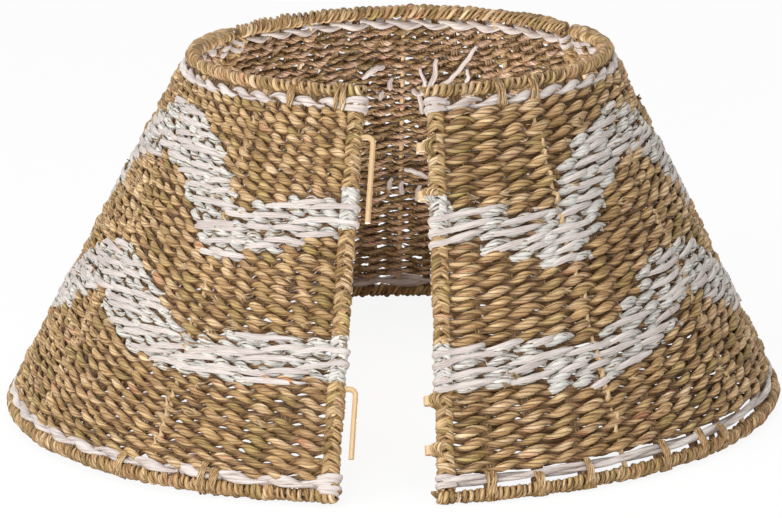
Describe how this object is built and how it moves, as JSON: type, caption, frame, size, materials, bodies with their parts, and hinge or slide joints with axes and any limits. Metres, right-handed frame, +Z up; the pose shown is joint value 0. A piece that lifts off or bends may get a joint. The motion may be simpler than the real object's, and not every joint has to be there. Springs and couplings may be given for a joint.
{
  "type": "christmas tree collar",
  "caption": "Flared tree collar of woven seagrass panels on wire frames that hook together, with bound rims, paper cord rows and white zigzag bands.",
  "frame": {"origin": "on the floor, under the middle of the collar's box as it stands", "axes": "+Z up, -Y towards the open front seam, +X to the right of someone who faces that seam"},
  "size_m": [0.6178, 0.6118, 0.2872],
  "materials": {
    "natural_seagrass": "dry twisted grass strands, straw brown with olive and reddish strands",
    "white_paper_cord": "matt twisted paper cord, warm white",
    "white_painted_seagrass": "thin cold white paint on grass strands, with paper cord laid among them",
    "powder_coated_steel": "straw yellow powder coat, satin"
  },
  "bodies": {
    "back_panel": {"back_top_rail": "powder_coated_steel", "back_bottom_rail": "powder_coated_steel", "back_eye_stile": "powder_coated_steel", "back_hook_stile": "powder_coated_steel", "back_stake_1": "powder_coated_steel", "back_stake_2": "powder_coated_steel", "back_stake_3": "powder_coated_steel", "back_sleeve_1": "powder_coated_steel", "back_sleeve_2": "powder_coated_steel", "back_sleeve_3": "powder_coated_steel", "back_sleeve_4": "powder_coated_steel", "back_upper_hook": "powder_coated_steel", "back_lower_hook": "powder_coated_steel", "back_top_binding": "natural_seagrass", "back_bottom_binding": "natural_seagrass", "back_woven_wall": "natural_seagrass", "back_top_cord": "white_paper_cord", "back_bottom_cord": "white_paper_cord", "back_upper_zigzag": "white_painted_seagrass", "back_lower_zigzag": "white_painted_seagrass"},
    "left_panel": {"left_top_rail": "powder_coated_steel", "left_bottom_rail": "powder_coated_steel", "left_eye_stile": "powder_coated_steel", "left_hook_stile": "powder_coated_steel", "left_stake_1": "powder_coated_steel", "left_stake_2": "powder_coated_steel", "left_stake_3": "powder_coated_steel", "left_sleeve_1": "powder_coated_steel", "left_sleeve_2": "powder_coated_steel", "left_sleeve_3": "powder_coated_steel", "left_sleeve_4": "powder_coated_steel", "left_upper_hook": "powder_coated_steel", "left_lower_hook": "powder_coated_steel", "left_top_binding": "natural_seagrass", "left_bottom_binding": "natural_seagrass", "left_woven_wall": "natural_seagrass", "left_top_cord": "white_paper_cord", "left_bottom_cord": "white_paper_cord", "left_upper_zigzag": "white_painted_seagrass", "left_lower_zigzag": "white_painted_seagrass"},
    "right_panel": {"right_top_rail": "powder_coated_steel", "right_bottom_rail": "powder_coated_steel", "right_eye_stile": "powder_coated_steel", "right_hook_stile": "powder_coated_steel", "right_stake_1": "powder_coated_steel", "right_stake_2": "powder_coated_steel", "right_stake_3": "powder_coated_steel", "right_sleeve_1": "powder_coated_steel", "right_sleeve_2": "powder_coated_steel", "right_sleeve_3": "powder_coated_steel", "right_sleeve_4": "powder_coated_steel", "right_upper_hook": "powder_coated_steel", "right_lower_hook": "powder_coated_steel", "right_top_binding": "natural_seagrass", "right_bottom_binding": "natural_seagrass", "right_woven_wall": "natural_seagrass", "right_top_cord": "white_paper_cord", "right_bottom_cord": "white_paper_cord", "right_upper_zigzag": "white_painted_seagrass", "right_lower_zigzag": "white_painted_seagrass"}
  },
  "joints": [
    {"name": "right_panel_swing", "type": "hinge", "parent": "back_panel", "child": "right_panel", "pos_m": [0.25278, 0.15407, 0.00565], "axis": [-0.3567, -0.2402, 0.9028], "range_deg": [-4.4, 85.6]},
    {"name": "left_panel_swing", "type": "hinge", "parent": "back_panel", "child": "left_panel", "pos_m": [-0.25298, 0.15407, 0.0056], "axis": [-0.4095, 0.2346, -0.8817], "range_deg": [-4.4, 85.6]}
  ]
}
